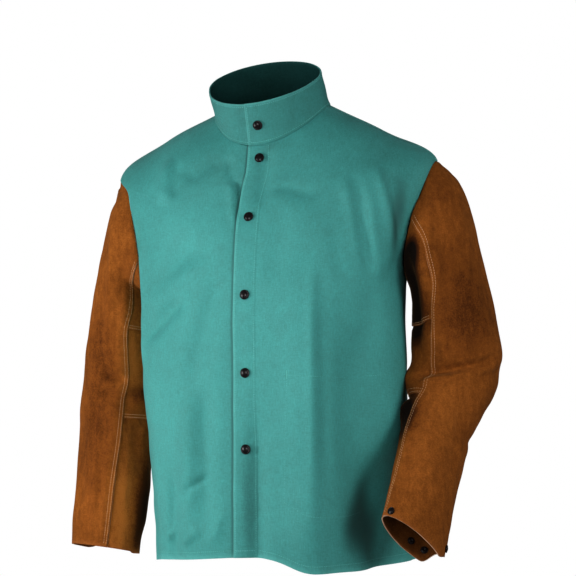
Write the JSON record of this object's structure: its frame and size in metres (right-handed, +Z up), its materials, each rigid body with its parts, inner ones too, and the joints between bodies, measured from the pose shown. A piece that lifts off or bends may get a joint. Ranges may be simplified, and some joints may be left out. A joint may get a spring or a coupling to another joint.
{
  "type": "welding jacket",
  "caption": "Snap-front welding jacket with a cotton body, split-leather sleeves and a stand collar, in its worn shape, open at the neck, hem and cuffs.",
  "frame": {"origin": "middle of the neck, level with the tops of the two shoulder seams, where a wearer or a hanger carries the jacket", "axes": "+Z up; the front with its snaps faces -Y; the wearer's left sleeve is on +X"},
  "size_m": [0.716, 0.3053, 0.8084],
  "materials": {
    "cotton": "matte twill weave",
    "suede": "napped split leather",
    "snap": "gloss black"
  },
  "bodies": {
    "root": {"back_panel": "cotton", "front_left": "cotton", "front_right": "cotton", "placket": "cotton", "collar": "cotton", "left_sleeve_outer": "suede", "left_sleeve_under_1": "suede", "left_sleeve_under_2": "suede", "left_sleeve_under_3": "suede", "right_sleeve_outer": "suede", "right_sleeve_under_1": "suede", "right_sleeve_under_2": "suede", "right_sleeve_under_3": "suede", "collar_snap": "snap", "front_snap_1": "snap", "front_snap_2": "snap", "front_snap_3": "snap", "front_snap_4": "snap", "front_snap_5": "snap", "left_cuff_snap_1": "snap", "left_cuff_snap_2": "snap", "left_cuff_stud_1": "snap", "left_cuff_stud_2": "snap", "right_cuff_snap_1": "snap", "right_cuff_stud_1": "snap", "right_cuff_stud_2": "snap"}
  },
  "joints": []
}
